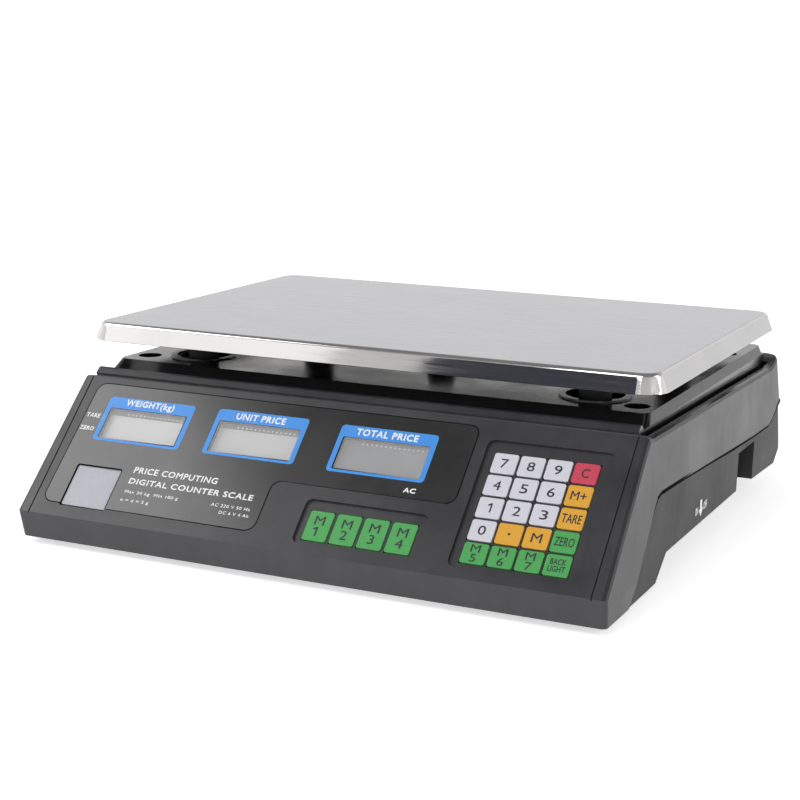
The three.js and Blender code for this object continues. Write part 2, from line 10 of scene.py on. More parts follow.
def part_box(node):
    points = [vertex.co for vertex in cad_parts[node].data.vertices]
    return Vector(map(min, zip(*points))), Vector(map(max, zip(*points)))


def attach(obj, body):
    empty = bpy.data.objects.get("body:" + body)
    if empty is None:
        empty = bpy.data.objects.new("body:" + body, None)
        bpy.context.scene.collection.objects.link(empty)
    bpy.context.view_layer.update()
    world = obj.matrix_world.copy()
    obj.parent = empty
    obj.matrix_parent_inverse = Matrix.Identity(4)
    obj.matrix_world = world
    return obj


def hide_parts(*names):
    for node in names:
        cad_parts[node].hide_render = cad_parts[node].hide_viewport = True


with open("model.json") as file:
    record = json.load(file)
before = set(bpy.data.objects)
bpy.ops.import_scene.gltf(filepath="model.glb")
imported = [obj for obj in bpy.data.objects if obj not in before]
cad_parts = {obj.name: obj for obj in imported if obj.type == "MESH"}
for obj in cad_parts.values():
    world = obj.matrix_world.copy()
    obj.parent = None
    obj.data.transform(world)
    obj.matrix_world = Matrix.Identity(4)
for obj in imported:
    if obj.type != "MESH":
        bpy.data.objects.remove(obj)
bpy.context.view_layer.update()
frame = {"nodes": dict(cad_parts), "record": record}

MM = 0.001
UP = Vector((0, 0, 1))

# ---------------------------------------------------------------- places taken from the frame
CORNERS = ("front_left", "front_right", "rear_left", "rear_right")
NUMBER_KEYS = [[f"key_row{row}_column{column}" for column in range(1, 5)] for row in range(1, 6)]
MEMORY_KEYS = [f"memory_key_{column}" for column in range(1, 5)]

housing_low, housing_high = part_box("upper_housing")
pan_low, pan_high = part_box("weighing_pan")
SLOPE = math.radians(45.3)
SLOPE_UP = Vector((0, math.cos(SLOPE), math.sin(SLOPE)))
SLOPE_OUT = Vector((0, -math.sin(SLOPE), math.cos(SLOPE)))
LIP_TOP = 19.2 * MM
PANEL_FOOT = Vector((0, housing_low.y, LIP_TOP))
PANEL = Matrix.Translation(PANEL_FOOT) @ Matrix.Rotation(SLOPE, 4, "X")
FILM_FACE = 0.1 * MM
PRINT = 0.06 * MM


# ---------------------------------------------------------------- shader tools
def colour(hex_text):
    """An sRGB hex value as the linear colour that a shader takes."""
    channels = [int(hex_text[i : i + 2], 16) / 255 for i in (1, 3, 5)]
    return [c / 12.92 if c <= 0.04045 else ((c + 0.055) / 1.055) ** 2.4 for c in channels] + [1.0]


def darker(hex_text, share):
    """The same colour with only this share of its light."""
    return [c * share for c in colour(hex_text)[:3]] + [1]


def connect(tree, node, inputs):
    """Sets a node's inputs by name or by place. A value that is another node's output is linked."""
    pairs = inputs.items() if isinstance(inputs, dict) else enumerate(inputs)
    for name, value in pairs:
        if isinstance(value, bpy.types.NodeSocket):
            tree.links.new(value, node.inputs[name])
        else:
            node.inputs[name].default_value = value


def add(tree, kind, inputs=(), output=0, **settings):
    """Adds one node with its settings and links, and gives back one of its outputs."""
    made = tree.nodes.new("ShaderNode" + kind)
    for name, value in settings.items():
        setattr(made, name, value)
    connect(tree, made, inputs)
    return made.outputs[output]


def per_mm(size):
    """Noise scale for features of this size in millimetres, on Object coordinates in metres."""
    return 1000 / size


def new_material(name, **values):
    material = bpy.data.materials.new(name)
    material.use_nodes = True
    tree = material.node_tree
    shader = tree.nodes["Principled BSDF"]
    connect(tree, shader, {key.replace("_", " "): value for key, value in values.items()})
    place = add(tree, "TexCoord", output="Object")
    return material, tree, shader, place


# ---------------------------------------------------------------- materials
SOFT_NOISE = {"Detail": 3.0, "Roughness": 0.55}
FINE_NOISE = {"Detail": 2.0, "Roughness": 0.55}
RICH_NOISE = {"Detail": 4.0, "Roughness": 0.55}


def moulded_abs(name, base, dusty, rough, mottle, texture_depth, shine=0.5):
    """Charcoal ABS from a spark-eroded mould: a fine sparkle of texture, cloudy where it has been wiped."""
    material, tree, shader, place = new_material(name, IOR=1.53, Specular_IOR_Level=shine)
    cloud = add(tree, "TexNoise", {**RICH_NOISE, "Vector": place, "Scale": per_mm(45)})
    streak_place = add(tree, "Mapping", {"Vector": place, "Scale": (1, 1, 0.16)})
    streak = add(tree, "TexNoise", {**SOFT_NOISE, "Vector": streak_place, "Scale": per_mm(9)})
    fine = add(tree, "TexNoise", {**FINE_NOISE, "Vector": place, "Scale": per_mm(0.9)})
    worn = add(tree, "Math", (cloud, streak), operation="MULTIPLY")
    wiped = add(tree, "MapRange", (worn, 0.18, 0.36, 0, mottle))
    tint = add(tree, "Mix", {0: wiped, 6: colour(base), 7: colour(dusty)}, 2, data_type="RGBA")
    gloss = add(tree, "MapRange", (cloud, 0.35, 0.65, rough - 0.05, rough + 0.06))
    bumps = add(tree, "Bump", {"Height": fine, "Distance": texture_depth * MM})
    connect(tree, shader, {"Base Color": tint, "Roughness": gloss, "Normal": bumps})
    return material


def printed_film(name, base, rough):
    """Polyester overlay printed on its back: smooth satin face with the faintest orange peel."""
    material, tree, shader, place = new_material(name, IOR=1.6, Coat_Weight=0.25, Coat_Roughness=0.12)
    speck = add(tree, "TexNoise", {**RICH_NOISE, "Vector": place, "Scale": per_mm(1.6)})
    specks = add(tree, "MapRange", (speck, 0.4, 0.7, 0, 0.05))
    tint = add(tree, "Mix", {0: specks, 6: colour(base), 7: colour("#6d6c6c")}, 2, data_type="RGBA")
    cloud = add(tree, "TexNoise", {**SOFT_NOISE, "Vector": place, "Scale": per_mm(30)})
    gloss = add(tree, "MapRange", (cloud, 0.3, 0.7, rough - 0.04, rough + 0.04))
    peel = add(tree, "TexNoise", {**FINE_NOISE, "Vector": place, "Scale": per_mm(2.4)})
    bumps = add(tree, "Bump", {"Height": peel, "Distance": 0.002 * MM})
    connect(tree, shader, {"Base Color": tint, "Roughness": gloss, "Normal": bumps})
    return material


def screen_ink(name, base, rough=0.42):
    """Screen-printed ink: dense colour, slightly uneven lay-down."""
    material, tree, shader, place = new_material(name)
    lay = add(tree, "TexNoise", {**SOFT_NOISE, "Vector": place, "Scale": per_mm(2.2)})
    uneven = add(tree, "MapRange", (lay, 0.35, 0.7, 0, 0.22))
    tint = add(tree, "Mix", {0: uneven, 6: colour(base), 7: darker(base, 0.82)}, 2, data_type="RGBA")
    cloud = add(tree, "TexNoise", {**SOFT_NOISE, "Vector": place, "Scale": per_mm(6)})
    gloss = add(tree, "MapRange", (cloud, 0.3, 0.7, rough - 0.05, rough + 0.05))
    connect(tree, shader, {"Base Color": tint, "Roughness": gloss})
    return material


def rolled_steel(name, base, rough, line_size):
    """Stainless sheet: fine rolling lines along the sheet, soft cloudy polish."""
    material, tree, shader, place = new_material(name, Metallic=1.0)
    lines_place = add(tree, "Mapping", {"Vector": place, "Scale": (0.02, 1, 1)})
    lines = add(tree, "TexNoise", {**RICH_NOISE, "Vector": lines_place, "Scale": per_mm(line_size)})
    cloud = add(tree, "TexNoise", {**SOFT_NOISE, "Vector": place, "Scale": per_mm(60)})
    tone = add(tree, "MapRange", (cloud, 0.35, 0.65, 0, 0.12))
    tint = add(tree, "Mix", {0: tone, 6: colour(base), 7: colour("#a9aaac")}, 2, data_type="RGBA")
    gloss = add(tree, "MapRange", (lines, 0.3, 0.7, rough - 0.03, rough + 0.05))
    bumps = add(tree, "Bump", {"Height": lines, "Distance": 0.004 * MM})
    connect(tree, shader, {"Base Color": tint, "Roughness": gloss, "Normal": bumps})
    return material


def cast_metal(name, base, rough, pit):
    """Die-cast or plated metal: small pits and a dull, slightly blotched face."""
    material, tree, shader, place = new_material(name, Metallic=0.95)
    blotch = add(tree, "TexNoise", {**RICH_NOISE, "Vector": place, "Scale": per_mm(12)})
    blotched = add(tree, "MapRange", (blotch, 0.35, 0.7, 0, 0.35))
    tint = add(tree, "Mix", {0: blotched, 6: colour(base), 7: darker(base, 0.7)}, 2, data_type="RGBA")
    cloud = add(tree, "TexNoise", {**SOFT_NOISE, "Vector": place, "Scale": per_mm(5)})
    gloss = add(tree, "MapRange", (cloud, 0.3, 0.7, rough - 0.08, rough + 0.1))
    pits = add(tree, "TexNoise", {**SOFT_NOISE, "Vector": place, "Scale": per_mm(pit)})
    bumps = add(tree, "Bump", {"Height": pits, "Distance": 0.05 * MM})
    connect(tree, shader, {"Base Color": tint, "Roughness": gloss, "Normal": bumps})
    return material


def moulded_rubber(name, base="#1d1d1e"):
    """Black moulded rubber: matt, with a dusty bloom."""
    material, tree, shader, place = new_material(name, IOR=1.5)
    dust = add(tree, "TexNoise", {**RICH_NOISE, "Vector": place, "Scale": per_mm(7)})
    bloom = add(tree, "MapRange", (dust, 0.4, 0.75, 0, 0.4))
    tint = add(tree, "Mix", {0: bloom, 6: colour(base), 7: colour("#3a3a3b")}, 2, data_type="RGBA")
    cloud = add(tree, "TexNoise", {**SOFT_NOISE, "Vector": place, "Scale": per_mm(2)})
    gloss = add(tree, "MapRange", (cloud, 0.3, 0.7, 0.7, 0.9))
    fine = add(tree, "TexNoise", {**FINE_NOISE, "Vector": place, "Scale": per_mm(0.6)})
    bumps = add(tree, "Bump", {"Height": fine, "Distance": 0.03 * MM})
    connect(tree, shader, {"Base Color": tint, "Roughness": gloss, "Normal": bumps})
    return material


def solder_mask(name):
    """Green fibreglass board: tracks show as slightly lighter lines under the mask."""
    material, tree, shader, place = new_material(name, IOR=1.5)
    brick = {"Vector": place, "Scale": per_mm(9), "Mortar Size": 0.03}
    tracks = add(tree, "TexBrick", brick, "Fac")
    tint = add(tree, "Mix", {0: tracks, 6: colour("#1c5537"), 7: colour("#2f7a52")}, 2, data_type="RGBA")
    cloud = add(tree, "TexNoise", {**SOFT_NOISE, "Vector": place, "Scale": per_mm(8)})
    gloss = add(tree, "MapRange", (cloud, 0.3, 0.7, 0.35, 0.5))
    connect(tree, shader, {"Base Color": tint, "Roughness": gloss})
    return material


def display_glass(name, base, shade):
    """Unlit reflective liquid-crystal display: pale grey glass, faintly cloudy."""
    material, tree, shader, place = new_material(name, IOR=1.5, Roughness=0.16)
    cloud = add(tree, "TexNoise", {**FINE_NOISE, "Vector": place, "Scale": per_mm(24)})
    clouded = add(tree, "MapRange", (cloud, 0.3, 0.7, 0, 0.5))
    tint = add(tree, "Mix", {0: clouded, 6: colour(base), 7: colour(shade)}, 2, data_type="RGBA")
    connect(tree, shader, {"Base Color": tint})
    return material


def gap_shade(name):
    """Painted shadow for the bottom of a narrow moulded gap: a near-black colour stands in for the light that
    almost never comes back out of it.
    """
    material, tree, shader, place = new_material(name, Specular_IOR_Level=0.05, Roughness=0.9)
    dust = add(tree, "TexNoise", {**SOFT_NOISE, "Vector": place, "Scale": per_mm(6)})
    dusty = add(tree, "MapRange", (dust, 0.4, 0.7, 0, 0.4))
    tint = add(tree, "Mix", {0: dusty, 6: colour("#060607"), 7: colour("#161617")}, 2, data_type="RGBA")
    connect(tree, shader, {"Base Color": tint})
    return material


def clear_window(name):
    """The unprinted part of the film: clear polyester over the display."""
    material, tree, shader, place = new_material(name, IOR=1.3, Alpha=0.16)
    smear = add(tree, "TexNoise", {**FINE_NOISE, "Vector": place, "Scale": per_mm(3)})
    gloss = add(tree, "MapRange", (smear, 0.3, 0.7, 0.05, 0.12))
    haze = add(tree, "TexNoise", {**SOFT_NOISE, "Vector": place, "Scale": per_mm(10)})
    tint = add(tree, "Mix", {0: haze, 6: colour("#e8e8ea"), 7: colour("#ffffff")}, 2, data_type="RGBA")
    connect(tree, shader, {"Base Color": tint, "Roughness": gloss})
    return material


# Plastics: base colour, colour where wiped, roughness, cloudiness, depth of texture in mm, and shine.
PANEL_ABS = moulded_abs("abs_panel_satin", "#2b2b2e", "#3a3a3d", 0.34, 0.4, 0.02)
WALL_ABS = moulded_abs("abs_wall_textured", "#2b2b2d", "#3a3a3c", 0.36, 0.6, 0.04, 0.42)
# The deck is glossy black, and its colour is also darkened as painted shade from the pan that hangs over it.
DECK_GLOSS_AND_SHADE_ABS = moulded_abs("abs_deck_gloss_and_painted_shade", "#141415", "#1d1d1e", 0.16, 0.3, 0.004)
BASE_ABS = moulded_abs("abs_base_textured", "#262628", "#39393b", 0.5, 0.7, 0.06, 0.25)
FILM = printed_film("overlay_film_black", "#1c1c1c", 0.22)
WHITE_INK = screen_ink("ink_white", "#efefef", 0.5)
BLUE_INK = screen_ink("ink_blue", "#3d8ee0", 0.36)
LEGEND_INK = screen_ink("ink_legend", "#26262d", 0.5)
KEY_FILMS = {
    "key_grey": screen_ink("key_film_grey", "#cfced8"),
    "key_red": screen_ink("key_film_red", "#c43f55"),
    "key_amber": screen_ink("key_film_amber", "#dba02c"),
    "key_green": screen_ink("key_film_green", "#44a050"),
}
PALE_WINDOW = screen_ink("window_pale_grey", "#a9a9b2", 0.3)
PAN_SATIN = rolled_steel("stainless_satin", "#cbcbce", 0.28, 0.5)
PAN_POLISH = rolled_steel("stainless_polished", "#e6e4e2", 0.06, 0.8)
ALLOY = cast_metal("aluminium_cast", "#a9abad", 0.45, 1.2)
ZINC = cast_metal("steel_zinc_plated", "#bdbab0", 0.35, 0.8)
RUBBER = moulded_rubber("rubber_black")
SILICONE = moulded_rubber("silicone_black", "#19191a")
BOARD = solder_mask("board_solder_mask")
LCD_LIGHT = display_glass("lcd_pale", "#c4c4c3", "#b4b4b3")
LCD_SHADED = display_glass("lcd_shaded", "#7b7d7e", "#606263")
CLEAR = clear_window("film_clear")
# Grey for the band of painted shade across the top of each display's glass.
LCD_TOP_SHADE = moulded_rubber("display_seal_grey", "#77787a")
# Near-black painted shadow for the strips under the housing's edge and round the film.
SHADOW_GAP = gap_shade("groove_painted_shadow")
CUT_EDGE = rolled_steel("stainless_cut_edge", "#77787b", 0.45, 0.5)
NYLON = moulded_abs("nylon_gloss_black", "#151516", "#232324", 0.28, 0.3, 0.01)
CASE_ABS = moulded_abs("battery_case_abs", "#43474d", "#565a60", 0.5, 0.4, 0.04)


# ---------------------------------------------------------------- mesh tools
def piece_from(bm, name, body, materials, replaces=(), smooth=32):
    """Makes the piece that a scene shows, smooth between its sharp edges, and fixes it to its body."""
    mesh = bpy.data.meshes.new(name)
    bm.to_mesh(mesh)
    bm.free()
    for polygon in mesh.polygons:
        polygon.use_smooth = True
    mesh.set_sharp_from_angle(angle=math.radians(smooth))
    for material in materials:
        mesh.materials.append(material)
    piece = bpy.data.objects.new(name, mesh)
    bpy.context.scene.collection.objects.link(piece)
    even = piece.modifiers.new("flat faces stay flat", "WEIGHTED_NORMAL")
    even.keep_sharp = True
    even.weight = 90
    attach(piece, body)
    if replaces:
        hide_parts(*replaces)
    return piece


def cad_copy(node):
    """The node's own shape with its loose triangles merged back into flat faces."""
    bm = bmesh.new()
    bm.from_mesh(frame["nodes"][node].data)
    bmesh.ops.remove_doubles(bm, verts=bm.verts, dist=0.002 * MM)
    bmesh.ops.dissolve_limit(bm, angle_limit=math.radians(1.0), verts=bm.verts, edges=bm.edges)
    return bm


def break_edges(bm, width, segments=2, angle=28, wanted=lambda edge: True):
    """Rounds the edges that turn by more than the angle, as a mould or a file leaves them."""
    sharp = [
        edge
        for edge in bm.edges
        if len(edge.link_faces) == 2
        and edge.calc_face_angle(0) > math.radians(angle)
        and wanted(edge)
    ]
    bmesh.ops.bevel(
        bm,
        geom=sharp,
        offset=width,
        offset_type="OFFSET",
        segments=segments,
        profile=0.5,
        affect="EDGES",
        clamp_overlap=True,
        material=-1,
    )


def body_of_node(node):
    """The moving or fixed body that carries a node in the record."""
    for body, members in frame["record"]["behaviour"]["bodies"].items():
        if node in members:
            return body
    raise ValueError(node)


def refine(node, name, material, width, segments=2, angle=28, wanted=lambda edge: True):
    """A finished copy of a node with its edges broken."""
    bm = cad_copy(node)
    break_edges(bm, width, segments, angle, wanted)
    return piece_from(bm, name, body_of_node(node), [material], [node])


def dress(node, *materials):
    """A CAD node that stays as it is, with its real finish."""
    mesh = frame["nodes"][node].data
    mesh.materials.clear()
    for material in materials:
        mesh.materials.append(material)


def rounded_outline(x0, x1, s0, s1, radius, segments=4):
    """A flat face with rounded corners in the plane z = 0."""
    bm = bmesh.new()
    corners = [bm.verts.new((x, s, 0)) for x, s in ((x0, s0), (x1, s0), (x1, s1), (x0, s1))]
    bm.faces.new(corners)
    bmesh.ops.bevel(
        bm, geom=corners, offset=radius, segments=segments, profile=0.5, affect="VERTICES", material=-1
    )
    return bm


def thicken(bm, thickness):
    """Raises a flat face into a thin closed slab."""
    made = bmesh.ops.extrude_face_region(bm, geom=bm.faces[:])
    raised = [v for v in made["geom"] if isinstance(v, bmesh.types.BMVert)]
    bmesh.ops.translate(bm, vec=UP * thickness, verts=raised)
    bmesh.ops.recalc_face_normals(bm, faces=bm.faces)


def to_panel(bm, w):
    """Lays a flat shape on the sloping panel, with its underside this far off the panel's face."""
    bmesh.ops.transform(bm, matrix=PANEL @ Matrix.Translation((0, 0, w)), verts=bm.verts)


def in_panel(point):
    """(x, s, w) of a model point: across the panel, up its slope and off its face."""
    offset = point - PANEL_FOOT
    return Vector((point.x, offset.dot(SLOPE_UP), offset.dot(SLOPE_OUT)))


def node_on_panel(node):
    """Lowest and highest (x, s, w) of a CAD node on the panel."""
    points = [in_panel(v.co) for v in frame["nodes"][node].data.vertices]
    low = Vector(min(p[i] for p in points) for i in range(3))
    high = Vector(max(p[i] for p in points) for i in range(3))
    return low, high


def add_flags_to_ones(bm, text):
    """The plain stroke that stands for a 1 gets its slanted flag, so that it can't be read as an I."""
    if not text.endswith("1"):
        return
    strokes = [v.co for v in bm.verts if text == "1" or v.co.y < 0]
    left, high = min(p.x for p in strokes), max(p.y for p in strokes)
    wide = max(p.x for p in strokes) - left
    flag = ((0.0, 0.0), (0.0, -1.5), (-1.9, -2.1), (-1.9, -1.0))
    bm.faces.new([bm.verts.new((left + x * wide, high + y * wide, 0)) for x, y in flag])


def embolden(bm, amount):
    """Pushes the outline of flat letters outwards by the given amount."""
    moves = {}
    for vertex in bm.verts:
        rims = [edge for edge in vertex.link_edges if edge.is_boundary]
        if len(rims) != 2:
            continue
        push = Vector()
        for edge in rims:
            along = (edge.verts[1].co - edge.verts[0].co).normalized()
            outward = along.cross(UP)
            middle = (edge.verts[0].co + edge.verts[1].co) / 2
            if outward.dot(edge.link_faces[0].calc_center_median() - middle) > 0:
                outward.negate()
            push += outward
        moves[vertex] = push / max(1, push.length_squared / 2)
    for vertex, push in moves.items():
        vertex.co += push * amount


def lettering(name, text, centre, height, width, body, ink, place, weight=0.06 * MM, spacing=1.0):
    """Printed letters: text set flat, squeezed to its printed width and given the ink's thickness."""
    curve = bpy.data.curves.new(name, "FONT")
    curve.body = text
    curve.align_x = "CENTER"
    curve.align_y = "CENTER"
    curve.space_line = 0.86
    curve.space_character = spacing
    curve.size = 1
    curve.resolution_u = 3
    holder = bpy.data.objects.new(name, curve)
    bpy.context.scene.collection.objects.link(holder)
    bpy.context.view_layer.update()
    evaluated = holder.evaluated_get(bpy.context.evaluated_depsgraph_get())
    flat = bpy.data.meshes.new_from_object(evaluated)
    bpy.data.objects.remove(holder)
    bm = bmesh.new()
    bm.from_mesh(flat)
    bpy.data.meshes.remove(flat)
    bmesh.ops.remove_doubles(bm, verts=bm.verts, dist=0.008)
    add_flags_to_ones(bm, text)
    low = Vector(min(v.co[i] for v in bm.verts) for i in range(3))
    high = Vector(max(v.co[i] for v in bm.verts) for i in range(3))
    size = high - low
    squeeze = Matrix.Diagonal((width / size.x, height / size.y, 1, 1))
    bmesh.ops.transform(bm, matrix=squeeze @ Matrix.Translation(-(low + high) / 2), verts=bm.verts)
    embolden(bm, weight)
    for face in bm.faces:
        if face.normal.z < 0:
            face.normal_flip()
    thicken(bm, PRINT)
    bmesh.ops.transform(bm, matrix=place @ Matrix.Translation(centre), verts=bm.verts)
    return piece_from(bm, name, body, [ink])


# ---------------------------------------------------------------- housings
LONG_ENOUGH = 0.8 * MM
LARGE_FACE = 40 * MM * MM
CHEEK_START = 164.6 * MM
REAR_WALL_START = housing_high.y - 5 * MM
DECK_FRONT = housing_low.y + 70 * MM
DECK_UNDER = 70 * MM


def is_long(edge):
    """Leaves out the short edges of small curves, where a bevel would run into itself."""
    return edge.calc_length() > LONG_ENOUGH


def upper_housing():
    """Deck, panel and walls in one shell; the deck is polished and darkened with painted shade from the pan
    above it, and the walls are textured.
    """
    bm = cad_copy("upper_housing")
    break_edges(bm, 0.5 * MM, 2, 30, is_long)
    finishes = [PANEL_ABS, WALL_ABS, DECK_GLOSS_AND_SHADE_ABS]
    shell = piece_from(bm, "upper_housing_shell", "housing", finishes, ["upper_housing"])
    for polygon in shell.data.polygons:
        centre = polygon.center
        if polygon.area > LARGE_FACE:
            polygon.use_smooth = False
        if abs(centre.x) > CHEEK_START and abs(polygon.normal.x) > 0.5:
            polygon.material_index = 1
        elif centre.y > REAR_WALL_START:
            polygon.material_index = 1
        # Deck faces under the pan take the glossy finish that is darkened with painted shade.
        elif centre.z > DECK_UNDER and centre.y > DECK_FRONT:
            polygon.material_index = 2
    return shell


def base_housing():
    return refine("base_housing", "base_housing_shell", BASE_ABS, 0.4 * MM, 2, 30, is_long)


# Each point of the line is (distance back from the front edge, height), in millimetres.
PARTING_LINE = (
    (38.0, 5.2),
    (74.9, 48.1),
    (78.2, 50.8),
    (84.5, 52.1),
    (119.7, 50.8),
    (170.9, 48.2),
    (223.2, 45.2),
    (267.4, 43.4),
    (305.6, 42.6),
    (313.6, 44.8),
    (327.6, 51.4),
    (333.6, 53.4),
)


# Each corner of the groove's section is (distance below the line, distance off its seat), in millimetres.
GROOVE_PROFILE = ((-0.6, 0.3), (-0.6, 1.1), (1.5, 1.1), (1.9, 0.3))
GROOVE_SEAT = 0.4
BASE_WALL_FOOT = 2 * MM
BASE_WALL_HEIGHT = 58 * MM
BASE_WALL_HALF_WIDTH = 169.2 * MM
BASE_WALL_SPREAD = 1.2 * MM


def parting_shadow_strip(side):
    """Painted shadow for the groove under the edge of the upper housing: a near-black strip on the base wall,
    with its rolled lower lip.
    """
    points = [Vector((0, housing_low.y + y * MM, z * MM)) for y, z in PARTING_LINE]
    bm = bmesh.new()
    rows = []
    for i, point in enumerate(points):
        ahead = points[min(i + 1, len(points) - 1)] - points[max(i - 1, 0)]
        down = Vector((0, ahead.z, -ahead.y)).normalized()
        row = []
        for drop, proud in GROOVE_PROFILE:
            place = point + down * drop * MM
            up_the_wall = (place.z - BASE_WALL_FOOT) / BASE_WALL_HEIGHT
            wall = BASE_WALL_HALF_WIDTH + BASE_WALL_SPREAD * up_the_wall
            row.append(bm.verts.new((side * (wall + (proud - GROOVE_SEAT) * MM), place.y, place.z)))
        rows.append(row)
    for before, after in zip(rows, rows[1:]):
        for i in range(3):
            bm.faces.new((before[i], after[i], after[i + 1], before[i + 1]))
        bm.faces.new((before[3], after[3], after[0], before[0]))
    bm.faces.new(rows[0])
    bm.faces.new(rows[-1])
    bmesh.ops.recalc_face_normals(bm, faces=bm.faces)
    name = "parting_shadow_strip_right" if side > 0 else "parting_shadow_strip_left"
    return piece_from(bm, name, "housing", [SHADOW_GAP])


upper_housing()
base_housing()
# Strips of painted shadow along the parting line on both sides.
parting_shadow_strip(1)
parting_shadow_strip(-1)
refine("battery_cover", "battery_cover_plate", BASE_ABS, 0.4 * MM)

# ---------------------------------------------------------------- panel pieces
refine("display_fascia", "display_film", FILM, 0.12 * MM, 1)


# How far the painted shadow round the film reaches past its edge, and how far under its top it lies.
FILM_GAP = 0.6 * MM
FILM_GAP_DROP = 0.08 * MM


def film_gap_painted_shadow():
    """Painted shadow in the gap round the film: a near-black sheet, the film's own face drawn larger on every
    side, just under its top.
    """
    bm = cad_copy("display_fascia")
    low, high = node_on_panel("display_fascia")
    rise = high.z - 0.05 * MM
    under = [
        face
        for face in bm.faces
        if in_panel(face.calc_center_median()).z < rise or face.normal.dot(SLOPE_OUT) < 0.9
    ]
    bmesh.ops.delete(bm, geom=under, context="FACES")
    rim = {}
    for edge in bm.edges:
        if not edge.is_boundary:
            continue
        away = (edge.verts[1].co - edge.verts[0].co).cross(SLOPE_OUT).normalized()
        if away.dot(edge.link_faces[0].calc_center_median() - edge.verts[0].co) > 0:
            away.negate()
        for vertex in edge.verts:
            rim[vertex] = rim.get(vertex, Vector()) + away
    for vertex, away in rim.items():
        vertex.co += away / max(1, away.length_squared / 2) * FILM_GAP
    bmesh.ops.translate(bm, vec=-SLOPE_OUT * FILM_GAP_DROP, verts=bm.verts)
    return piece_from(bm, "film_gap_painted_shadow", "housing", [SHADOW_GAP])


film_gap_painted_shadow()
refine("corner_window", "corner_window_lens", PALE_WINDOW, 0.15 * MM)

WINDOW_SIZE = (51 * MM, 20.2 * MM)
FRAME_SIDE = 2.9 * MM
FRAME_HEAD = 7.2 * MM
FRAME_FOOT = 1.6 * MM
COVER_GAP = 0.1 * MM
# Depth of the band of painted shade at the top of each display.
LCD_TOP_SHADE_DEPTH = 3.0 * MM
DOTS = 14
DOT_SPACING = 2.7 * MM
DOT_RADIUS = 0.42 * MM
TITLE_SPACING = 1.14
WORD_SPACING = 1.12


def outline_about(x, s, side, foot, head, radius, segments=4):
    """A rounded outline that reaches these distances from a point on the panel, the same on both sides."""
    return rounded_outline(x - side, x + side, s - foot, s + head, radius, segments)


def window(lcd, title, wide, glass):
    """One display: the glass, the clear film over it, the printed blue frame and its title, a grey band of
    painted shade across the top of the glass, and its row of dots.
    """
    low, high = node_on_panel(lcd)
    x, s = (low.x + high.x) / 2, (low.y + high.y) / 2
    half_x, half_s = WINDOW_SIZE[0] / 2, WINDOW_SIZE[1] / 2
    refine(lcd, lcd + "_glass", glass, 0.3 * MM)

    cover_x, cover_s = half_x - COVER_GAP, half_s - COVER_GAP
    cover = outline_about(x, s, cover_x, cover_s, cover_s, 0.8 * MM)
    thicken(cover, 0.25 * MM)
    to_panel(cover, -0.35 * MM)
    piece_from(cover, lcd.replace("lcd", "cover"), "housing", [CLEAR])

    side = half_x + FRAME_SIDE
    bm = outline_about(x, s, side, half_s + FRAME_FOOT, half_s + FRAME_HEAD, 2.2 * MM, 6)
    outer = bm.edges[:]
    opening = outline_about(x, s, half_x, half_s, half_s, 0.9 * MM, 6)
    bmesh.ops.delete(bm, geom=bm.faces[:], context="FACES_ONLY")
    matched = {vertex: bm.verts.new(vertex.co) for vertex in opening.verts}
    ring = [bm.edges.new([matched[v] for v in edge.verts]) for edge in opening.edges]
    opening.free()
    bmesh.ops.bridge_loops(bm, edges=outer + ring)
    thicken(bm, PRINT)
    to_panel(bm, FILM_FACE)
    piece_from(bm, lcd.replace("lcd", "frame"), "housing", [BLUE_INK])

    place = (x - 0.8 * MM, s + half_s + FRAME_HEAD / 2 + 0.1 * MM, FILM_FACE + PRINT)
    tall = 5.0 * MM if "(" in title else 3.9 * MM
    name = lcd.replace("lcd", "title")
    lettering(name, title, place, tall, wide, "housing", WHITE_INK, PANEL, 0.15 * MM, TITLE_SPACING)

    # Grey band across the top of the glass, under the dots: painted shade where the recess above the display
    # shades it.
    top_shade_x = half_x - 0.2 * MM
    shade = outline_about(x, s, top_shade_x, LCD_TOP_SHADE_DEPTH - half_s, half_s, 0.1 * MM)
    thicken(shade, PRINT)
    to_panel(shade, -3.3 * MM)
    piece_from(shade, lcd.replace("lcd", "seal"), "housing", [LCD_TOP_SHADE])

    dots = bmesh.new()
    for i in range(DOTS):
        from_middle = (i - (DOTS - 1) / 2) * DOT_SPACING
        spot = Matrix.Translation((x + from_middle + 3 * MM, s + half_s - 1.6 * MM, 0))
        bmesh.ops.create_circle(dots, cap_ends=True, segments=8, radius=DOT_RADIUS, matrix=spot)
    thicken(dots, PRINT)
    to_panel(dots, -3.2 * MM)
    piece_from(dots, lcd.replace("lcd", "dots"), "housing", [WHITE_INK])


window("weight_lcd", "WEIGHT(kg)", 31.6 * MM, LCD_LIGHT)
window("unit_price_lcd", "UNIT PRICE", 30.4 * MM, LCD_LIGHT)
window("total_price_lcd", "TOTAL PRICE", 35.8 * MM, LCD_SHADED)

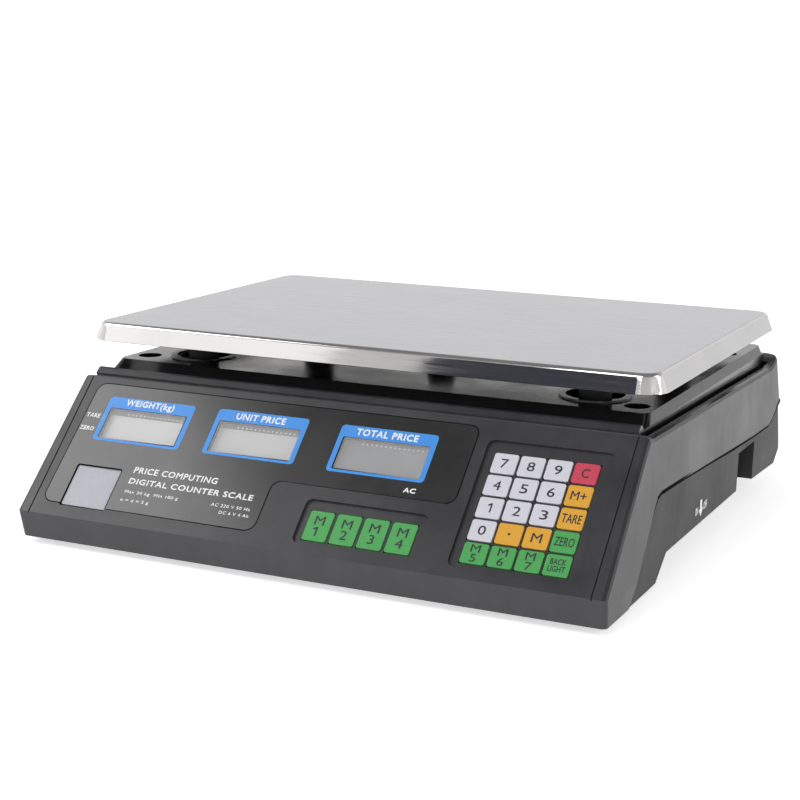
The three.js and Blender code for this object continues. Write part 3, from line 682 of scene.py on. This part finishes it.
# Each row is the piece, its words, their middle on the panel, their height, their width and the stroke added.
PANEL_WORDS = (
    ("word_tare", "TARE", (-151.8, 65.7), 2.5, 8.8, 0.1),
    ("word_zero", "ZERO", (-152.2, 57.0), 2.5, 9.2, 0.1),
    ("word_mains", "AC", (54.0, 44.5), 2.6, 6.6, 0.16),
    ("word_kind", "PRICE COMPUTING", (-83, 34.6), 3.6, 53.0, 0.12),
    ("word_name", "DIGITAL COUNTER SCALE", (-70.7, 27.6), 3.3, 78.0, 0.13),
    ("word_range", "Max 30 kg  Min 100 g", (-92.5, 20.6), 2.2, 34.0, 0.04),
    ("word_step", "e = d = 5 g", (-101.0, 15.4), 2.2, 18.0, 0.04),
    ("word_supply", "AC 220 V 50 Hz", (-42.5, 20.6), 1.8, 24.0, 0.03),
    ("word_battery", "DC 6 V 4 Ah", (-39.0, 16.6), 1.8, 18.0, 0.03),
)
for name, text, (x, s), height, width, weight in PANEL_WORDS:
    centre = (x * MM, s * MM, FILM_FACE)
    size = (height * MM, width * MM)
    lettering(name, text, centre, *size, "housing", WHITE_INK, PANEL, weight * MM, WORD_SPACING)

# ---------------------------------------------------------------- keys
LEGENDS = (
    ("7", "8", "9", "C"),
    ("4", "5", "6", "M+"),
    ("1", "2", "3", "TARE"),
    ("0", "•", "M", "ZERO"),
    ("M\n5", "M\n6", "M\n7", "BACK\nLIGHT"),
)
LEGEND_SIZES = {
    "TARE": (10.2, 4.9),
    "ZERO": (10.2, 4.9),
    "M+": (8.2, 4.8),
    "M": (5.4, 5.0),
    "1": (2.1, 5.2),
    "•": (1.3, 1.3),
}


def key_colour(node):
    """The film whose colour the record gives this key."""
    for entry in frame["record"]["subparts"]:
        if entry["node"] == node:
            return KEY_FILMS[entry["material_slot"]]
    raise ValueError(node)


def key(node, legend):
    """A printed key, slightly domed at its edge, with its legend riding on it."""
    refine(node, node + "_cap", key_colour(node), 0.35 * MM, 3)
    low, high = node_on_panel(node)
    width, height = LEGEND_SIZES.get(legend, (4.0, 5.2))
    if "\n" in legend:
        width, height = (5.0, 9.6) if legend.startswith("M") else (8.8, 7.0)
    if node in MEMORY_KEYS:
        width, height = 5.6, 11.6
    centre = ((low.x + high.x) / 2, (low.y + high.y) / 2, high.z)
    lettering(node + "_legend", legend, centre, height * MM, width * MM, node, LEGEND_INK, PANEL)


for row, names in enumerate(NUMBER_KEYS):
    for column, node in enumerate(names):
        key(node, LEGENDS[row][column])
for number, node in enumerate(MEMORY_KEYS, start=1):
    key(node, f"M\n{number}")

# ---------------------------------------------------------------- weighing pan
PAN_CORNER = 14 * MM
PAN_FOLD = 3.0 * MM
PAN_SHEET = 1.2 * MM
SKIRT_LEAN = math.radians(21)
TUCK = 1.6 * MM
TUCK_SPREAD = 0.05
FOLD_STEPS = 6
SKIRT_RINGS = 4
PAN_FACE_DEPTH = 0.3 * MM
PAN_RIM_DEPTH = 1.0 * MM


def weighing_pan():
    """One sheet: flat top, a rounded fold and a skirt that leans out; each corner is drawn in by a tuck."""
    centre = (pan_low + pan_high) / 2
    half = (pan_high - pan_low) / 2
    core = Vector((half.x - PAN_CORNER, half.y - PAN_CORNER))
    bend = math.pi / 2 - SKIRT_LEAN
    fold_out = PAN_FOLD * math.sin(bend)
    fold_drop = PAN_FOLD * (1 - math.cos(bend))
    drop = pan_high.z - pan_low.z - fold_drop
    skirt_out = drop * math.tan(SKIRT_LEAN)
    flat = half - Vector((1, 1, 0)) * (fold_out + skirt_out)
    top_corner = PAN_CORNER - fold_out - skirt_out
    bm = rounded_outline(-flat.x, flat.x, -flat.y, flat.y, top_corner, 12)
    bmesh.ops.translate(bm, vec=(0, 0, pan_high.z), verts=bm.verts)

    def draw_out(outward, z, tuck=0.0):
        """Adds one ring of sheet round the rim, this much further out and at this height."""
        rim = [edge for edge in bm.edges if edge.is_boundary]
        made = bmesh.ops.extrude_edge_only(bm, edges=rim)
        for vertex in (v for v in made["geom"] if isinstance(v, bmesh.types.BMVert)):
            x, y = vertex.co.xy
            inner = Vector((max(-core.x, min(core.x, x)), max(-core.y, min(core.y, y))))
            away = (vertex.co.xy - inner).normalized()
            across = abs(abs(away.x) - abs(away.y))
            vertex.co.xy += away * (outward - (tuck if across < TUCK_SPREAD else 0))
            vertex.co.z = z

    for i in range(1, FOLD_STEPS + 1):
        turn, before = bend * i / FOLD_STEPS, bend * (i - 1) / FOLD_STEPS
        outward = PAN_FOLD * (math.sin(turn) - math.sin(before))
        draw_out(outward, pan_high.z - PAN_FOLD * (1 - math.cos(turn)))
    for i in range(1, SKIRT_RINGS + 1):
        z = pan_high.z - fold_drop - drop * i / SKIRT_RINGS
        draw_out(skirt_out / SKIRT_RINGS, z, TUCK / SKIRT_RINGS)
    bmesh.ops.translate(bm, vec=(centre.x, centre.y, 0), verts=bm.verts)
    bmesh.ops.recalc_face_normals(bm, faces=bm.faces)
    if max(bm.faces, key=lambda f: f.calc_area()).normal.z < 0:
        bmesh.ops.reverse_faces(bm, faces=bm.faces)
    bmesh.ops.solidify(bm, geom=bm.faces[:], thickness=PAN_SHEET)
    finishes = [PAN_SATIN, PAN_POLISH, CUT_EDGE]
    pan = piece_from(bm, "weighing_pan_sheet", "pan", finishes, ["weighing_pan"], smooth=40)
    for polygon in pan.data.polygons:
        if polygon.center.z > pan_high.z - PAN_FACE_DEPTH:
            polygon.material_index = 0
        elif polygon.center.z < pan_low.z + PAN_RIM_DEPTH and polygon.normal.z < -0.8:
            polygon.material_index = 2
        else:
            polygon.material_index = 1
    return pan


weighing_pan()

# ---------------------------------------------------------------- load path and small parts
refine("pan_spider", "platform_casting", RUBBER, 0.6 * MM)
refine("load_cell", "load_cell_bar", ALLOY, 0.5 * MM)
refine("load_cell_plate", "load_cell_pedestal", ZINC, 0.4 * MM)
refine("overload_stop", "overload_buffer", RUBBER, 0.6 * MM)
for number in (1, 2):
    refine(f"platform_bolt_{number}", f"platform_bolt_head_{number}", ZINC, 0.5 * MM)
for corner in CORNERS:
    refine(f"pan_cushion_{corner}", f"pan_pad_{corner}", RUBBER, 0.8 * MM, 3)
    refine(f"levelling_foot_{corner}", f"levelling_pad_{corner}", RUBBER, 0.5 * MM)
    refine(f"housing_screw_{corner}", f"case_screw_{corner}", ZINC, 0.3 * MM)
refine("power_jack", "power_socket", NYLON, 0.25 * MM)
refine("power_switch_body", "switch_bezel", NYLON, 0.4 * MM)
refine("power_switch_rocker", "switch_rocker", NYLON, 0.4 * MM)
refine("battery", "battery_block", CASE_ABS, 0.8 * MM)
dress("main_board", BOARD)
dress("keypad_switch_mat", SILICONE)
dress("memory_switch_mat", SILICONE)

# ---------------------------------------------------------------- print on the side wall
base_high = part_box("base_housing")[1]
switch_low, switch_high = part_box("power_switch_body")
FACING_RIGHT = Matrix(((0, 0, 1, 0), (1, 0, 0, 0), (0, 1, 0, 0), (0, 0, 0, 1)))
PRINT_MIDDLE = Vector((base_high.x - 0.3 * MM, (switch_low.y + switch_high.y) / 2 - 4.7 * MM, 0))
SIDE_PLACE = Matrix.Translation(PRINT_MIDDLE) @ FACING_RIGHT
for name, word, y, wide in (("side_on", "ON", -8.2, 5.2), ("side_off", "OFF", 8.4, 7.0)):
    centre = (y * MM, 24.2 * MM, 0)
    lettering(name, word, centre, 4.4 * MM, wide * MM, "housing", WHITE_INK, SIDE_PLACE)


def side_arrow():
    """Printed arrow that points down to the rocker switch."""
    bm = bmesh.new()
    outline = ((-1.9, 29), (-1.9, 24), (-4.4, 24), (0, 19.6), (4.4, 24), (1.9, 24), (1.9, 29))
    bm.faces.new([bm.verts.new((y * MM, z * MM, 0)) for y, z in outline])
    thicken(bm, PRINT)
    bmesh.ops.transform(bm, matrix=SIDE_PLACE, verts=bm.verts)
    return piece_from(bm, "side_arrow", "housing", [WHITE_INK])


side_arrow()


# ---------------------------------------------------------------- floor, light and camera
def stage_sheet(name, centre, facing, size_x, size_y, hex_text, rough, glow=0.0):
    """A flat card of studio kit, turned to face a point."""
    bm = bmesh.new()
    bmesh.ops.create_grid(bm, x_segments=2, y_segments=2, size=0.5)
    turn = (Vector(facing) - Vector(centre)).to_track_quat("Z", "Y").to_matrix().to_4x4()
    shape = Matrix.Diagonal((size_x, size_y, 1, 1))
    bmesh.ops.transform(bm, matrix=Matrix.Translation(centre) @ turn @ shape, verts=bm.verts)
    mesh = bpy.data.meshes.new(name)
    bm.to_mesh(mesh)
    bm.free()
    sheet = bpy.data.objects.new(name, mesh)
    bpy.context.scene.collection.objects.link(sheet)
    material, tree, shader, place = new_material(name, Roughness=rough, Emission_Strength=glow)
    cloud = add(tree, "TexNoise", {**FINE_NOISE, "Vector": place, "Scale": per_mm(400)})
    tint = add(tree, "Mix", {0: cloud, 6: colour(hex_text), 7: darker(hex_text, 0.97)}, 2, data_type="RGBA")
    connect(tree, shader, {"Base Color": tint, "Emission Color": (1, 1, 1, 1)})
    mesh.materials.append(material)


def studio():
    """White floor and horizon, three softboxes, and the cards that the polished steel mirrors."""
    stage_sheet("studio_floor", (0, 0, 0), (0, 0, 1), 14, 14, "#f8f8f8", 0.9, 0.6)
    stage_sheet("dark_flag", (-0.36, -1.22, 0.8), (0.12, -0.1, 0.1), 0.34, 0.3, "#141628", 0.6)
    stage_sheet("white_card", (-0.94, -1.1, 0.72), (-0.1, -0.1, 0.1), 0.55, 0.45, "#d4d4d4", 0.8, 0.36)
    stage_sheet("grey_wall", (0.75, 1.45, 0.34), (0.1, 0.1, 0.1), 1.2, 0.5, "#c0c0c2", 0.7, 0.1)

    world = bpy.data.worlds.new("studio_air")
    world.use_nodes = True
    tree = world.node_tree
    ray = add(tree, "TexCoord", output="Generated")
    height = add(tree, "SeparateXYZ", {"Vector": ray}, "Z")
    strength = add(tree, "MapRange", (height, 0.1, 0.8, 1.05, 0.22))
    connect(tree, tree.nodes["Background"], {"Color": (1, 1, 1, 1), "Strength": strength})
    bpy.context.scene.world = world

    lights = (
        ("left_softbox", (-1.6, -0.7, 1.4), (-0.1, -0.1, 0.05), 1.2, 15),
        ("front_softbox", (-0.2, -1.9, 1.9), (0, 0, 0.05), 1.2, 16),
        ("right_softbox", (1.9, 0.3, 1.2), (0, 0, 0.05), 0.9, 7),
    )
    for name, place, aim, size, power in lights:
        data = bpy.data.lights.new(name, "AREA")
        data.size = size
        data.energy = power
        lamp = bpy.data.objects.new(name, data)
        lamp.location = place
        lamp.rotation_euler = (Vector(aim) - Vector(place)).to_track_quat("-Z", "Y").to_euler()
        bpy.context.scene.collection.objects.link(lamp)


CAMERA_AZIMUTH = math.radians(25.76)
CAMERA_ELEVATION = math.radians(12.06)
CAMERA_ROLL = math.radians(0.51)
CAMERA_DISTANCE = 1.0245
CAMERA_AIM = Vector((-0.0174, -0.00695, 0.0654))
CAMERA_LENS = 77.35


def camera():
    """The camera, from its direction round the object, its height, its roll and its distance."""
    back = Vector(
        (
            math.sin(CAMERA_AZIMUTH) * math.cos(CAMERA_ELEVATION),
            -math.cos(CAMERA_AZIMUTH) * math.cos(CAMERA_ELEVATION),
            math.sin(CAMERA_ELEVATION),
        )
    )
    right = (-back).cross(UP).normalized()
    up = right.cross(-back)
    rolled_right = right * math.cos(CAMERA_ROLL) + up * math.sin(CAMERA_ROLL)
    rolled_up = up * math.cos(CAMERA_ROLL) - right * math.sin(CAMERA_ROLL)
    data = bpy.data.cameras.new("camera")
    data.lens = CAMERA_LENS
    data.sensor_width = 36
    data.dof.use_dof = False
    eye = bpy.data.objects.new("camera", data)
    turn = Matrix((rolled_right, rolled_up, back)).transposed().to_4x4()
    eye.matrix_world = Matrix.Translation(CAMERA_AIM + back * CAMERA_DISTANCE) @ turn
    bpy.context.scene.collection.objects.link(eye)
    bpy.context.scene.camera = eye


studio()
camera()
bpy.context.scene.view_settings.view_transform = "Standard"
